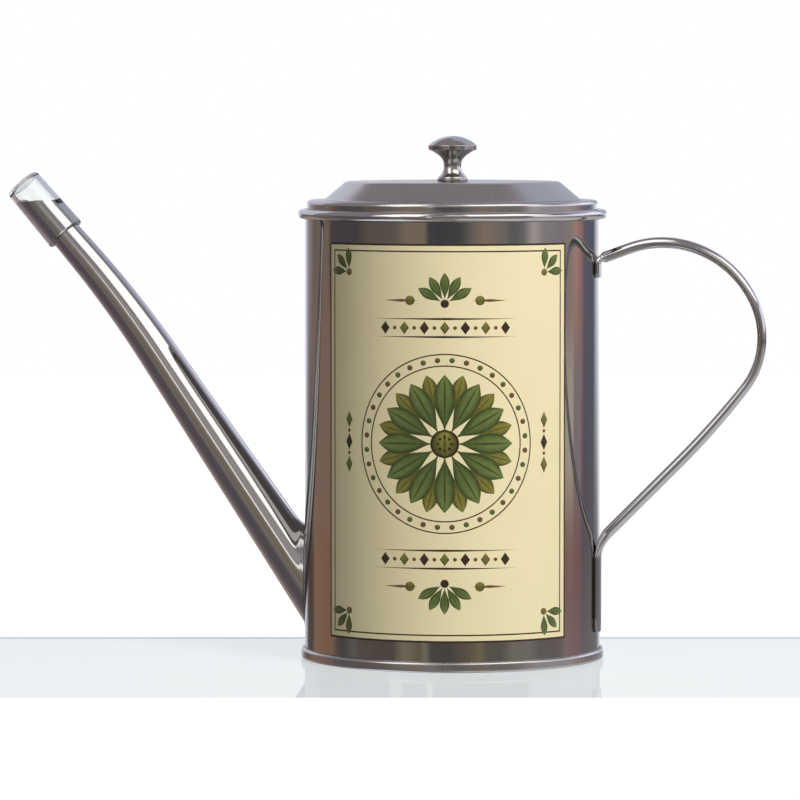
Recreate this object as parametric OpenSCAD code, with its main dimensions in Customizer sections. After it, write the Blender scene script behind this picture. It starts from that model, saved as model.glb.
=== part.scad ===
// Stainless steel oil can for the table: a straight round body with a rolled rim,
// a plug-in lid with a turned knob, a long rising spout with a clear slip-on cap,
// a bent rod handle and a printed panel on the front.
// Millimetres. The origin is the middle of the foot, on the surface that the can stands on.
// +Z is up, the handle points to +X and the spout to -X. The panel faces about -Y.

/* [Body] */
// Outside diameter of the body
body_d = 94.4; // [88:0.2:104]
// Height from the foot to the top of the rolled rim
body_h = 143.2; // [140:0.2:160]
// Thickness of the body, base and lid sheet
sheet = 0.5; // [0.4:0.05:0.6]
// Thickness of the rolled rim
rim_roll = 3.1; // [2.6:0.1:3.6]
// How far the rolled rim stands out from the body
rim_out = 2.1; // [1.9:0.1:2.4]
// Width of the welded seam down the back
seam_w = 2.4; // [1.6:0.2:4]
// Height of the welded seam over the sheet
seam_t = 0.15; // [0.1:0.05:0.3]

/* [Foot] */
// Height of the rolled foot
foot_h = 3.4; // [2.8:0.1:4.5]
// How far the rolled foot stands out from the body
foot_out = 1.1; // [0.8:0.1:1.6]
// Height of the floor over the table
floor_rise = 2.4; // [1.6:0.1:3.5]
// Depth of the shallow step pressed into the floor
floor_step = 0.8; // [0.4:0.1:1.2]
// Diameter of the lower middle of the floor
floor_d = 68; // [40:1:78]

/* [Lid] */
// Radial gap between the lid's plug and the rim
lid_gap = 0.25; // [0.15:0.05:0.3]
// How far the lid's shoulder overhangs its plug
lid_step = 0.4; // [0.35:0.05:0.6]
// Height of the lid's upright band over the rim
band_h = 2.9; // [1.5:0.1:5]
// Depth of the plug below the top of the rim
plug_h = 9; // [6:0.5:14]
// Height of the raised crown over the ledge
crown_rise = 5.9; // [4.5:0.1:8]
// Diameter of the flat top of the crown
crown_d = 66; // [50:0.5:70]
// Slope of the crown's side, in degrees
crown_slope = 40; // [34:1:60]
// Radius between the flat top and the slope
crown_round = 2.5; // [1:0.25:3]
// Radius between the slope and the ledge
ledge_round = 1.2; // [0.6:0.1:1.5]

/* [Knob] */
// Diameter of the knob's head
knob_d = 15.6; // [12:0.2:20]
// Whole height of the knob
knob_h = 14.4; // [12:0.2:20]
// Height of the upright edge of the head
knob_edge = 1.4; // [0.8:0.1:2]
// Height of the domed top of the head
knob_dome = 3; // [1.5:0.1:4]
// Diameter of the foot of the knob
knob_foot_d = 9.8; // [8.4:0.2:12]
// Height of the foot of the knob
knob_foot_h = 1; // [0.6:0.1:1.6]
// Diameter of the waist of the knob
knob_waist_d = 5.6; // [5.2:0.1:7]
// Thread diameter of the knob's screw
screw_d = 3; // [2.5:0.1:3.2]
// Length of the screw in the knob
screw_bite = 6.5; // [4:0.5:8]
// Diameter of the screw's head
screw_head_d = 6; // [5:0.1:6.6]
// Height of the screw's head
screw_head_h = 1.8; // [1.4:0.1:2.4]
// Outside diameter of the washer under the lid
washer_d = 9; // [8:0.2:12]
// Thickness of the washer
washer_t = 0.8; // [0.5:0.1:1.2]

/* [Spout] */
// Height at which the spout's centre line leaves the body
spout_z = 23; // [20:0.5:40]
// Rise of the lower run of the spout, in degrees
spout_rise = 55; // [50:1:58]
// Length of the straight lower run
spout_run = 88; // [70:1:95]
// Length over which the spout bends
spout_bend_len = 42; // [30:1:50]
// How much lower the upper run rises, in degrees
spout_bend = 7; // [0:0.5:10]
// Length of the straight upper run, to the level mouth
spout_end = 23; // [21:1:30]
// Outside diameter at the body
spout_root_d = 17.2; // [15:0.2:18]
// Outside diameter at the mouth
spout_tip_d = 9.3; // [8.6:0.1:11]
// Thickness of the spout's wall
spout_wall = 0.6; // [0.5:0.05:0.8]
// How far the upper side of the welded root flares out
flare_out = 1.8; // [1:0.1:3]
// Length over which the flare fades
flare_len = 9; // [6:0.5:18]

/* [Clear cap] */
// Length of the cap
cap_len = 22; // [20:0.5:26]
// How far down the upper run the cap reaches from the mouth's centre
cap_grip = 14.5; // [12:0.5:15.5]
// Radial gap between the cap and the spout
cap_gap = 0.15; // [0.1:0.05:0.3]
// Thickness of the cap's wall
cap_wall = 1.35; // [0.8:0.05:1.8]
// Thickness of the cap's closed end
cap_end_t = 1.2; // [0.8:0.1:1.8]

/* [Handle] */
// Diameter of the handle's rod
rod_d = 3.5; // [2.6:0.1:4.5]
// How much thinner the rod is pressed in its tight bend
rod_squeeze = 0.6; // [0:0.05:0.8]
// Width of the flattened ends
tab_w = 7.4; // [5:0.2:10]
// Thickness of the flattened ends
tab_t = 1.1; // [0.8:0.1:1.6]
// Height of the lower edge of the upper tab
tab_z = 121.8; // [116:0.2:124]
// Length of the upper tab
upper_tab = 4.7; // [3:0.1:7]
// Length of the lower tab
lower_tab = 23.5; // [8:0.5:28]
// Length of the sharp bend from the upper tab into the rod
neck_len = 1.8; // [1.6:0.1:4]
// Length over which the flattened end swells to the full rod
swell_len = 1.6; // [1:0.1:4]
// Rise of the rod as it leaves the body, in degrees
rod_rise = 20; // [10:1:30]
// Length of the straight start of the rod
start_len = 7.6; // [5:0.1:14]
// Length of the wide bend over the top
top_len = 47.3; // [44:0.1:52]
// Turn of the wide bend, in degrees
top_turn = 84; // [78:1:88]
// Length of the tight bend behind the hand
grip_len = 29.3; // [26:0.1:34]
// Turn of the tight bend, in degrees
grip_turn = 64; // [58:1:68]
// Length of the slow bend into the slanted run
slow_len = 32; // [24:0.5:38]
// Turn of the slow bend, in degrees
slow_turn = 7; // [2:1:12]
// Length of the bend back onto the body
low_len = 9.4; // [8:0.1:14]

/* [Panel] */
// Height of the lower edge of the printed panel
panel_z = 9.4; // [6:0.2:16]
// Height of the printed panel
panel_h = 124; // [80:1:126]
// Width of the printed panel, along the curve
panel_w = 83.8; // [40:0.2:100]
// Thickness of the printed panel
panel_t = 0.2; // [0.1:0.05:0.4]
// Turn of the panel from the front towards the handle, in degrees
panel_turn = 11; // [-15:1:15]

/* [Hidden] */
$fn = 96;

steel = [0.66, 0.65, 0.64];
cream = [0.88, 0.84, 0.70];
clear = [0.82, 0.93, 0.92, 0.4];

// Clearance between sheets that are folded or glued together
fold_gap = 0.05;
// Height of the lid's shoulder over its seat on the rim
seat_gap = 0.1;
// How far a cut runs past the metal
past = 1;

body_r = body_d / 2;
bore_r = body_r - sheet;

// Rolled rim: a curl of sheet with its mouth on the outside of the body
roll_r = rim_roll / 2;
rim_r = body_r + rim_out - roll_r;
rim_z = body_h - roll_r;
throat_r = rim_r - roll_r;
curl_slot = 0.35;

// The body's sheet ends in a slot in the rolled foot
slot_z = 0.8;
foot_r = body_r + foot_out;
foot_round = 0.9;

// Lid
plug_r = throat_r - lid_gap;
band_r = plug_r + lid_step;
seat_z = rim_z + sqrt(roll_r * roll_r - (rim_r - band_r) * (rim_r - band_r)) + seat_gap;
ledge_z = body_h + band_h;
crown_z = ledge_z + crown_rise;
band_round = 0.6;

// Knob, washer and screw, from the crown's top
hole_gap = 0.2;
thread_gap = 0.05;
knob_head_z = knob_h - knob_dome - knob_edge;
knob_waist_z = knob_foot_h + (knob_head_z - knob_foot_h) * 0.45;
washer_z = crown_z - sheet - washer_t;

// Spout
tip_rise = spout_rise - spout_bend;
spout_len = spout_run + spout_bend_len + spout_end;
root_back = spout_root_d / 2 * (1 + tan(spout_rise));
// Distance along the spout at which its flared upper side meets the body
flare_s = (spout_root_d / 2 + flare_out) * tan(spout_rise);
spout_sides = 32;

// Handle: the tabs lie flat on the body, and the rod between them is bent from runs of
// [length, turn in degrees]. The slanted run is as long as brings the lower tab to the body.
tab_off = fold_gap + tab_t / 2;
tab_x = body_r + tab_off;
upper_runs = [
    [upper_tab, 0], [neck_len, rod_rise - 90], [swell_len, 0], [start_len, 0],
    [top_len, -top_turn], [grip_len, -grip_turn], [slow_len, -slow_turn]
];
rod_sides = 20;

panel_a = panel_w / body_r * 180 / PI;

// Points on an arc about c from angle a to angle b
function arc(c, r, a, b, n = 8) =
    [for (i = [0:n]) c + r * [cos(a + (b - a) * i / n), sin(a + (b - a) * i / n)]];

// The same list, last point first
function flip(list) = [for (i = [len(list) - 1:-1:0]) list[i]];

// Linear blend from a to b
function mix(a, b, t) = a + (b - a) * t;

// Smooth blend of t from 0 to 1
function ease(t) = t <= 0 ? 0 : t >= 1 ? 1 : t * t * (3 - 2 * t);

// Triangles and quads that join rings of n points into a tube, closed at both ends
function tube_faces(rings, n) = concat(
    [[for (k = [0:n - 1]) k]],
    [for (i = [0:rings - 2], k = [0:n - 1])
        let (a = i * n + k, b = i * n + (k + 1) % n)
        [a, a + n, b]],
    [for (i = [0:rings - 2], k = [0:n - 1])
        let (a = i * n + k, b = i * n + (k + 1) % n)
        [b, a + n, b + n]],
    [[for (k = [n - 1:-1:0]) (rings - 1) * n + k]]
);

// Spout centre line in the plane of spout and handle: distance along it to [x, z, rise]
function spout_at(s) =
    s <= spout_run
    ? [-body_r - s * cos(spout_rise), spout_z + s * sin(spout_rise), spout_rise]
    : s >= spout_run + spout_bend_len
    ? let (b = spout_at(spout_run + spout_bend_len - 0.001), d = s - spout_run - spout_bend_len)
      [b[0] - d * cos(tip_rise), b[1] + d * sin(tip_rise), tip_rise]
    : let (a = spout_at(spout_run), d = s - spout_run, turn = spout_bend * d / spout_bend_len,
           chord = turn == 0 ? d : 2 * d * sin(turn / 2) / (turn * PI / 180), h = spout_rise - turn / 2)
      [a[0] - chord * cos(h), a[1] + chord * sin(h), spout_rise - turn];

// Outside radius of the spout at a distance along it, without the flare
function spout_r(s) = mix(spout_root_d, spout_tip_d, s / spout_len) / 2;

// How much the root flares out at a distance along it and an angle from its upper side
function flare(s, t) =
    flare_out * max(cos(t), 0) * pow(1 - min(max(s - flare_s, 0) / flare_len, 1), 2);

// Stations along the spout, close together at the flare and the bend, and extra past both ends
function spout_stations(extra) = concat(
    [-root_back - extra, 0],
    [for (i = [0:6]) flare_s + flare_len * i / 6],
    [for (i = [1:3]) mix(flare_s + flare_len, spout_run, i / 3)],
    [for (i = [1:8]) spout_run + spout_bend_len * i / 8],
    [spout_len, spout_len + spout_root_d / 2 + extra]
);

// One ring of the spout at distance s, set in from the outside, as points in space
function spout_ring(s, inset, flared) =
    let (c = spout_at(s), a = c[2])
    [for (k = [0:spout_sides - 1])
        let (t = 360 * k / spout_sides, r = spout_r(s) - inset + (flared ? flare(s, t) : 0),
             u = r * cos(t), v = r * sin(t))
        [c[0] + u * sin(a), v, c[1] + u * cos(a)]];

module spout_solid(inset, flared, extra) {
    rings = [for (s = spout_stations(extra)) spout_ring(s, inset, flared)];
    polyhedron([for (ring = rings) each ring], tube_faces(len(rings), spout_sides), convexity = 6);
}

// The body's outline, which cuts the spout's root to the body
module body_outline(grow) {
    translate([0, 0, -past])
        cylinder(r = body_r + grow, h = body_h + 2 * past);
}

module body_shell() {
    color(steel)
    difference() {
        union() {
            rotate_extrude()
            difference() {
                union() {
                    translate([bore_r, slot_z])
                        square([sheet, rim_z - slot_z]);
                    translate([rim_r, rim_z])
                        circle(roll_r, $fn = 48);
                }
                translate([rim_r, rim_z])
                    circle(roll_r - sheet, $fn = 48);
                translate([body_r, rim_z - rim_roll])
                    square([curl_slot, rim_roll]);
            }
            // Seam down the back, between foot and rim
            rotate([0, 0, 90 - seam_w / body_r * 90 / PI])
            rotate_extrude(angle = seam_w / body_r * 180 / PI)
            translate([body_r - sheet / 2, foot_h + past])
                square([sheet / 2 + seam_t, rim_z - roll_r - foot_h - 2 * past]);
        }
        // Round hole behind the spout, along the spout's lower run
        translate([-body_r, 0, spout_z])
        rotate([0, spout_rise - 90, 0])
        translate([0, 0, -root_back * 2])
            cylinder(r = spout_r(0) - spout_wall, h = root_back * 4);
    }
}

// The base is rolled up around the end of the body's sheet
module base_disc() {
    wall_r = bore_r - fold_gap;
    color(steel)
    rotate_extrude()
    difference() {
        union() {
            // Floor with a shallow step down towards the middle
            translate([0, floor_rise - floor_step])
                square([floor_d / 2 + sheet, sheet]);
            translate([floor_d / 2, floor_rise - floor_step])
                square([sheet, floor_step + sheet]);
            translate([floor_d / 2, floor_rise])
                square([wall_r - floor_d / 2 - sheet / 2, sheet]);
            translate([wall_r - sheet, foot_round / 2])
                square([foot_r - foot_round - wall_r + sheet, foot_h - foot_round / 2]);
            translate([wall_r - sheet + foot_round / 2, 0])
                square([foot_r - foot_round - wall_r + sheet - foot_round / 2, foot_h]);
            translate([wall_r - sheet + foot_round / 2, foot_round / 2])
                circle(foot_round / 2, $fn = 32);
            translate([foot_r - foot_round, foot_round])
                circle(foot_round, $fn = 32);
            translate([foot_r - foot_round, foot_h - foot_round])
                circle(foot_round, $fn = 32);
            translate([foot_r - foot_round, foot_round])
                square([foot_round, foot_h - 2 * foot_round]);
        }
        // Slot that holds the end of the body's sheet
        translate([bore_r - fold_gap, slot_z - fold_gap])
            square([sheet + 2 * fold_gap, foot_h]);
    }
}

module label_panel() {
    color(cream)
    rotate([0, 0, panel_turn - 90 - panel_a / 2])
    rotate_extrude(angle = panel_a)
    translate([body_r + fold_gap, panel_z])
        square([panel_t, panel_h]);
}

// A bent and tapered tube, cut to the body at its root and level at its mouth
module spout_tube() {
    mouth = spout_at(spout_len);
    color(steel)
    difference() {
        spout_solid(0, true, 0);
        spout_solid(spout_wall, false, past);
        body_outline(fold_gap);
        translate([mouth[0] - spout_root_d * 2, -spout_root_d, mouth[1]])
            cube([spout_root_d * 4, spout_root_d * 2, spout_root_d * 2]);
    }
}

// Place and heading at the end of the first n runs
function walk(runs, n) =
    n == 0 ? [tab_x, tab_z, 90]
    : let (p = walk(runs, n - 1), run = runs[n - 1], turn = run[1],
           chord = turn == 0 ? run[0] : run[0] * sin(turn / 2) / (turn / 2 * PI / 180),
           h = p[2] + turn / 2)
      [p[0] + chord * cos(h), p[1] + chord * sin(h), p[2] + turn];

// The slanted run, long enough for the lower bend to bring the tab onto the body
slant_start = walk(upper_runs, len(upper_runs));
low_turn = -90 - slant_start[2];
low_chord = low_len * sin(low_turn / 2) / (low_turn / 2 * PI / 180);
low_drop = low_chord * cos(slant_start[2] + low_turn / 2);
slant = (tab_x - slant_start[0] - low_drop) / cos(slant_start[2]);
handle_runs = concat(upper_runs, [[slant, 0], [low_len, low_turn], [lower_tab, 0]]);

// Steps taken over each run, and how flat the rod is at its start and end: 1 is a flat tab
run_steps = [2, 6, 2, 2, 16, 10, 4, 3, 6, 2];
run_flat = [1, 1, 0.7, 0, 0, 0, 0, 0, 0, 1, 1];
// The tight bend, where the rod is squeezed
tight_run = 5;

function handle_station(j, t) =
    let (p = walk(handle_runs, j), run = handle_runs[j], turn = run[1] * t, d = run[0] * t,
         chord = turn == 0 ? d : d * sin(turn / 2) / (turn / 2 * PI / 180), h = p[2] + turn / 2,
         flat = ease(mix(run_flat[j], run_flat[j + 1], t)),
         near = abs(j + t - tight_run - 0.4) / 1.5,
         thick = rod_d - rod_squeeze * (1 - ease(near)),
         wide = rod_d + rod_squeeze * 0.5 * (1 - ease(near)))
    [p[0] + chord * cos(h), p[1] + chord * sin(h), p[2] + turn,
     mix(thick, tab_t, flat), mix(wide, tab_w, flat), flat];

// Corners of the section grow squarer as it flattens
function handle_ring(st) =
    let (n = mix(1, 0.35, st[5]))
    [for (k = [0:rod_sides - 1])
        let (a = 360 * k / rod_sides, ca = cos(a), sa = sin(a),
             u = st[3] / 2 * sign(ca) * pow(abs(ca), n), v = st[4] / 2 * sign(sa) * pow(abs(sa), n))
        [st[0] - u * sin(st[2]), v, st[1] + u * cos(st[2])]];

module handle() {
    stations = concat(
        [handle_station(0, 0)],
        [for (j = [0:len(handle_runs) - 1], i = [1:run_steps[j]]) handle_station(j, i / run_steps[j])]
    );
    color(steel)
    polyhedron([for (st = stations) each handle_ring(st)], tube_faces(len(stations), rod_sides),
        convexity = 6);
}

// Half section of the lid's skin, set in by t: crown, slope, ledge, band, shoulder and plug
function lid_line(t) =
    let (cp = [crown_d / 2, crown_z - crown_round],
         rounds = crown_round + ledge_round,
         reach = (rounds * (1 - cos(crown_slope)) + crown_rise * cos(crown_slope)) / sin(crown_slope),
         cf = [crown_d / 2 + reach, ledge_z + ledge_round])
    concat(
        [[0, crown_z - t]],
        arc(cp, crown_round - t, 90, 90 - crown_slope),
        arc(cf, ledge_round + t, 270 - crown_slope, 270),
        arc([band_r - band_round, ledge_z - band_round], band_round - t, 90, 0, 4),
        [[band_r - t, seat_z + t], [plug_r - t, seat_z + t], [plug_r - t, body_h - plug_h]]
    );

module lid_cover() {
    color(steel)
    difference() {
        rotate_extrude()
            polygon(concat(lid_line(0), flip(lid_line(sheet))));
        // Hole for the knob's screw
        translate([0, 0, crown_z - sheet - past])
            cylinder(r = screw_d / 2 + hole_gap, h = sheet + 2 * past, $fn = 32);
    }
}

// Half section of the knob's neck, from the foot up to the head
function neck_line() = concat(
    [for (i = [0:8])
        let (t = i / 8, z = mix(knob_foot_h, knob_waist_z, t))
        [mix(knob_waist_d, knob_foot_d, pow(1 - t, 2.4)) / 2, z]],
    [for (i = [1:8])
        let (t = i / 8, z = mix(knob_waist_z, knob_head_z, t))
        [mix(knob_waist_d, knob_d, pow(t, 2.4)) / 2, z]]
);

// The dome is part of a ball, from the edge of the head to the top
function dome_line() =
    let (r = (knob_d * knob_d / 4 + knob_dome * knob_dome) / 2 / knob_dome, a = asin(knob_d / 2 / r))
    arc([0, knob_h - r], r, 90 - a, 90, 9);

module lid_knob() {
    color(steel)
    translate([0, 0, crown_z])
    difference() {
        rotate_extrude($fn = 64)
            polygon(concat([[0, 0], [knob_foot_d / 2, 0]], neck_line(), dome_line()));
        // Tapped hole for the screw
        translate([0, 0, -past])
            cylinder(r = screw_d / 2 + thread_gap, h = past + screw_bite + past, $fn = 32);
    }
}

module knob_washer() {
    color(steel)
    translate([0, 0, washer_z])
    difference() {
        cylinder(d = washer_d, h = washer_t, $fn = 48);
        translate([0, 0, -past])
            cylinder(r = screw_d / 2 + hole_gap, h = washer_t + 2 * past, $fn = 32);
    }
}

// Pan head screw, up through the washer and the lid into the knob, with a slot in its head
module knob_screw() {
    slot_w = screw_head_d * 0.14;
    color(steel)
    translate([0, 0, washer_z])
    difference() {
        union() {
            cylinder(d = screw_d, h = washer_t + sheet + screw_bite, $fn = 32);
            translate([0, 0, -screw_head_h])
                cylinder(d = screw_head_d, h = screw_head_h, $fn = 48);
        }
        translate([-screw_head_d, -slot_w / 2, -screw_head_h - past])
            cube([2 * screw_head_d, slot_w, past + screw_head_h * 0.45]);
    }
}

// Soft clear cap, bored to the spout's own taper
module spout_cap() {
    low = spout_len - cap_grip;
    high = low + cap_len;
    foot = spout_at(low);
    bore_low = spout_r(low) + cap_gap;
    bore_high = spout_r(high) + cap_gap;
    color(clear)
    translate([foot[0], 0, foot[1]])
    rotate([0, tip_rise - 90, 0])
    difference() {
        cylinder(r1 = bore_low + cap_wall, r2 = bore_high + cap_wall, h = cap_len, $fn = 64);
        translate([0, 0, -past])
            cylinder(r1 = spout_r(low - past) + cap_gap, r2 = spout_r(high - cap_end_t) + cap_gap,
                h = cap_len - cap_end_t + past, $fn = 64);
    }
}

body_shell();
base_disc();
label_panel();
spout_tube();
handle();
lid_cover();
lid_knob();
knob_screw();
knob_washer();
spout_cap();
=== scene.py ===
# %% [markdown]
# # An oil can of polished steel, dressed for its picture
#
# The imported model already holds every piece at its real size. This lesson adds what a camera
# sees: smooth skins for the shiny pieces, a printed panel, a clear cap, and the room that
# polished steel mirrors. Everything is in metres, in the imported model's own frame: +Z is up,
# the handle points to +X, the spout to -X, and the panel faces about -Y.

# %% The frame
import bmesh
import bpy
from math import asin, atan2, cos, degrees, pi, radians, sin, sqrt, tan
from mathutils import Matrix, Vector


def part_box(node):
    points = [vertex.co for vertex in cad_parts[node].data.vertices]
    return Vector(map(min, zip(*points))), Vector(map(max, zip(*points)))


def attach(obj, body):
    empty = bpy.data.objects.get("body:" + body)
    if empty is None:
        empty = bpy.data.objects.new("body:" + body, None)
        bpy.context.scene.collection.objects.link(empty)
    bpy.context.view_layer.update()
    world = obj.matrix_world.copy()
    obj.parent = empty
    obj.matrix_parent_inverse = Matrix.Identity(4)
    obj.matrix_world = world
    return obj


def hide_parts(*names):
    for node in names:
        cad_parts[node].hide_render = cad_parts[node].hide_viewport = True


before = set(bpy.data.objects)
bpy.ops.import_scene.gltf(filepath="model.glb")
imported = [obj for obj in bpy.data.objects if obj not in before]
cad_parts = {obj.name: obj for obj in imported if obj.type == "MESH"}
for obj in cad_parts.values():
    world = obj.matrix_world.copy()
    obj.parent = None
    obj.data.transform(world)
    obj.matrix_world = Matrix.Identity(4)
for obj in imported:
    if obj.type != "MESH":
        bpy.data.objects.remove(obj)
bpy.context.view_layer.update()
print("nodes:", sorted(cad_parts))

# %% [markdown]
# ## The camera
#
# The camera comes first, because every later choice is judged through it. It stands 1.6 m in
# front of the can, 180 mm over the table, and looks 3.5 degrees down through a long lens. The
# can is turned 14.5 degrees, so that the handle comes a little forward.

# %% Camera
mm = 0.001
TURN = radians(14.5)
to_right = Vector((cos(TURN), sin(TURN), 0))
away = Vector((-sin(TURN), cos(TURN), 0))
up = Vector((0, 0, 1))
CAMERA_DISTANCE = 1.600
CAMERA_LEFT = 0.01675
CAMERA_HEIGHT = 0.180
PITCH = radians(3.498)
LENS, SENSOR = 225.9, 36


def in_scene(name, data):
    """A new object in the scene, at the origin."""
    made = bpy.data.objects.new(name, data)
    bpy.context.scene.collection.objects.link(made)
    return made


def make_camera():
    data = bpy.data.cameras.new("camera")
    data.lens, data.sensor_width = LENS, SENSOR
    data.clip_start, data.clip_end = 0.05, 50
    camera = in_scene("camera", data)
    forward = away * cos(PITCH) - up * sin(PITCH)
    top = up * cos(PITCH) + away * sin(PITCH)
    camera.matrix_world = Matrix((to_right, top, -forward)).transposed().to_4x4()
    camera.location = -away * CAMERA_DISTANCE - to_right * CAMERA_LEFT + up * CAMERA_HEIGHT
    bpy.context.scene.camera = camera
    return camera


camera = make_camera()
print("camera at", [round(v, 4) for v in camera.location])

# %% [markdown]
# ## Meshes from outlines
#
# Most of the can is spun or pressed round, so half of its section says all about it. The
# helper below takes corners, each with its own radius, and rounds them into an outline.
# A second helper spins such an outline into a skin. Steel mirrors every facet, so the skins
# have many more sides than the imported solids. Smooth shading blends the slopes of neighbouring
# faces, which would bow a long flat wall next to a tight curl, so each long run gets a guard
# point close to both of its ends.

# %% Outlines and lathe
SIDES = 192


def arc(centre, radius, start, end, steps=12):
    """Points on an arc, with its angles in degrees."""
    angles = [radians(start + (end - start) * i / steps) for i in range(steps + 1)]
    return [(centre[0] + radius * cos(a), centre[1] + radius * sin(a)) for a in angles]


def rounded(corners):
    """An outline through corners (r, z) or (r, z, radius), with each radius as an arc."""
    line = []
    for i, corner in enumerate(corners):
        here = Vector(corner[:2])
        if len(corner) < 3:
            line.append(tuple(here))
            continue
        before = (Vector(corners[i - 1][:2]) - here).normalized()
        after = (Vector(corners[(i + 1) % len(corners)][:2]) - here).normalized()
        half = before.angle(after) / 2
        reach = corner[2] / sin(half)
        centre = here + (before + after).normalized() * reach
        touch = reach * cos(half)
        a, b = here + before * touch - centre, here + after * touch - centre
        start = atan2(a.y, a.x)
        turn = (atan2(b.y, b.x) - start + pi) % (2 * pi) - pi
        steps = max(3, round(abs(degrees(turn)) / 9))
        line += arc(centre, corner[2], degrees(start), degrees(start + turn), steps)
    return line


def skin(name, rings, close=True, caps=False, sharp=40):
    """A mesh through rings of points, all of one length; close joins the last ring to the first."""
    mesh = bpy.data.meshes.new(name)
    sides = len(rings[0])
    points = [p for ring in rings for p in ring]
    faces = []
    for i in range(len(rings) if close else len(rings) - 1):
        low, high = i * sides, (i + 1) % len(rings) * sides
        for k in range(sides):
            j = (k + 1) % sides
            faces.append((low + k, low + j, high + j, high + k))
    if caps:
        faces.append(tuple(range(sides)))
        faces.append(tuple((len(rings) - 1) * sides + k for k in range(sides)))
    mesh.from_pydata([Vector(p) * mm for p in points], [], faces)
    return finished(name, mesh, sharp)


def finished(name, mesh, sharp=40):
    """Merges doubles, points the faces outwards, shades smooth and makes the object."""
    work = bmesh.new()
    work.from_mesh(mesh)
    bmesh.ops.remove_doubles(work, verts=work.verts, dist=0.002 * mm)
    bmesh.ops.dissolve_degenerate(work, edges=work.edges, dist=0.001 * mm)
    bmesh.ops.recalc_face_normals(work, faces=work.faces)
    work.to_mesh(mesh)
    work.free()
    mesh.shade_smooth()
    mesh.set_sharp_from_angle(angle=radians(sharp))
    print(name, len(mesh.polygons), "faces")
    return in_scene(name, mesh)


def guarded(outline, reach=0.15):
    """Adds a point near both ends of each long run, so that the run is shaded flat between them."""
    line = []
    for a, b in zip(outline, outline[1:] + outline[:1]):
        line.append(a)
        run = Vector(b) - Vector(a)
        if run.length > 1:
            step = run.normalized() * reach
            line += [tuple(Vector(a) + step), tuple(Vector(b) - step)]
    return line


def lathe(name, outline, sides=SIDES, sharp=40):
    """Spins an outline of (r, z) in millimetres round the Z axis."""
    angles = [2 * pi * k / sides for k in range(sides)]
    rings = [[(r * cos(a), r * sin(a), z) for a in angles] for r, z in guarded(outline)]
    return skin(name, rings, sharp=sharp)


# %% [markdown]
# ## Node helpers
#
# Materials and the world are built from nodes. One short helper places a node, gives it its
# settings and fills its inputs, with a plain number or with another node's output. The others
# wrap the kinds of node that come up most.

# %% Nodes
def put(tree, kind, values=None, **settings):
    """Adds a node; values maps an input's name or number to a constant or to an output."""
    node = tree.nodes.new(kind)
    for key, value in settings.items():
        setattr(node, key, value)
    for key, value in (values or {}).items():
        if isinstance(value, bpy.types.NodeSocket):
            tree.links.new(value, node.inputs[key])
        else:
            node.inputs[key].default_value = value
    return node


def maths(tree, operation, a, b=0.0, c=0.0):
    """One Math node's output."""
    return put(tree, "ShaderNodeMath", {0: a, 1: b, 2: c}, operation=operation).outputs[0]


def split(tree, vector):
    """The X, Y and Z outputs of a vector."""
    return put(tree, "ShaderNodeSeparateXYZ", {0: vector}).outputs


def combine(tree, x=0.0, y=0.0, z=0.0):
    """A vector from its parts."""
    return put(tree, "ShaderNodeCombineXYZ", {0: x, 1: y, 2: z}).outputs[0]


def spread(tree, value, low, high, to_low=0.0, to_high=1.0, **settings):
    """Maps low to high onto to_low to to_high."""
    return put(tree, "ShaderNodeMapRange", {0: value, 1: low, 2: high, 3: to_low, 4: to_high},
               **settings).outputs[0]


def emboss(tree, shader, height, strength, distance):
    """Stirs a shader's normal with a height; distance is in millimetres."""
    relief = put(tree, "ShaderNodeBump", {"Height": height, "Strength": strength,
                                          "Distance": distance * mm})
    tree.links.new(relief.outputs[0], shader.inputs["Normal"])


def ramp(tree, factor, stops, mode="LINEAR"):
    """A colour ramp's output; stops are (place, colour)."""
    node = put(tree, "ShaderNodeValToRGB", {0: factor})
    node.color_ramp.interpolation = mode
    elements = node.color_ramp.elements
    while len(elements) < len(stops):
        elements.new(0.5)
    for element, (place, colour) in zip(elements, stops):
        element.position, element.color = place, (*colour, 1)
    return node.outputs[0]


def srgb(r, g, b):
    """A colour as a picture shows it, 0 to 255, as linear light."""
    parts = [v / 255 for v in (r, g, b)]
    return tuple(v / 12.92 if v <= 0.04045 else ((v + 0.055) / 1.055) ** 2.4 for v in parts)


def blend(tree, factor, a, b, mode="MIX"):
    """A colour Mix node's output."""
    node = put(tree, "ShaderNodeMix", data_type="RGBA", blend_type=mode)
    for socket, value in ((0, factor), (6, a), (7, b)):
        if isinstance(value, bpy.types.NodeSocket):
            tree.links.new(value, node.inputs[socket])
        else:
            node.inputs[socket].default_value = value if socket == 0 else (*value[:3], 1)
    return node.outputs[2]


def material(name):
    """A new node material: its tree, its Principled shader and its Object coordinates."""
    made = bpy.data.materials.new(name)
    made.use_nodes = True
    tree = made.node_tree
    shader = tree.nodes["Principled BSDF"]
    place = put(tree, "ShaderNodeTexCoord").outputs["Object"]
    return made, tree, shader, place


# %% [markdown]
# ## Steel
#
# Polished stainless sheet is a soft mirror. Its polish leaves very fine lines along the way
# the wheel ran, handling leaves a few hair scratches, and fingers leave dull patches. The
# lines are noise stretched along one direction; they stir the roughness and a faint bump.

# %% Steel finishes
STEEL = (0.63, 0.615, 0.605)


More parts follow.
